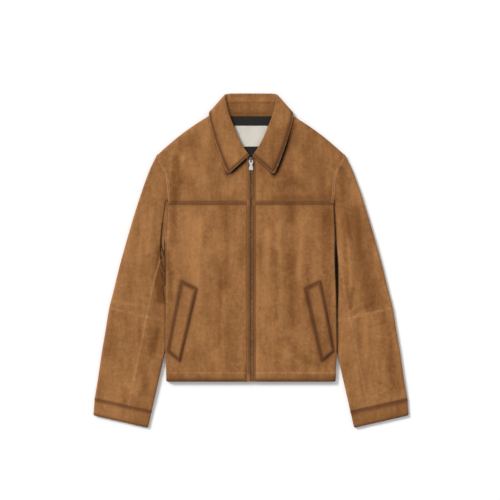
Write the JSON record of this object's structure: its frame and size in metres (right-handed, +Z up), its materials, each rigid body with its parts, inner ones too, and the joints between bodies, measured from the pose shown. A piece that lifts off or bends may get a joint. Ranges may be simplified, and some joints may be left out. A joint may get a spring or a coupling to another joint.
{
  "type": "suede zip jacket laid flat",
  "caption": "Waist-length suede jacket with a turned-down collar, front yokes, welt pockets and a closed front zip, laid flat on its back",
  "frame": {"origin": "middle of the jacket's outline on the surface it lies on, below the zip's line", "axes": "+X towards the reader's right as the jacket lies collar up, +Y towards the collar, +Z up off the surface"},
  "size_m": [0.7584, 0.8042, 0.0189],
  "materials": {
    "suede": "napped tan suede, darkened along seams",
    "lining": "smooth dark lining",
    "label": "woven off-white label, blank",
    "zip_tape": "brown woven tape and coil",
    "zip_metal": "bright nickel plate"
  },
  "bodies": {
    "garment": {"front_yoke_left": "suede", "front_panel_left": "suede", "pocket_welt_left": "suede", "sleeve_upper_outer_left": "suede", "sleeve_upper_inner_left": "suede", "sleeve_lower_outer_left": "suede", "sleeve_lower_inner_left": "suede", "cuff_left": "suede", "placket_left": "suede", "zip_tape_left": "zip_tape", "front_yoke_right": "suede", "front_panel_right": "suede", "pocket_welt_right": "suede", "sleeve_upper_outer_right": "suede", "sleeve_upper_inner_right": "suede", "sleeve_lower_outer_right": "suede", "sleeve_lower_inner_right": "suede", "cuff_right": "suede", "placket_right": "suede", "zip_tape_right": "zip_tape", "back_panel": "suede", "collar": "suede", "collar_stand": "suede", "neck_lining": "lining", "neck_label": "label", "zip_slider": "zip_metal"},
    "zip_pull": {"zip_pull": "zip_metal"}
  },
  "joints": [
    {"name": "pull_hinge", "type": "hinge", "parent": "garment", "child": "zip_pull", "pos_m": [0, 0.2405, 0.0168], "axis": [-1, 0, 0], "range_deg": [0, 150]}
  ]
}
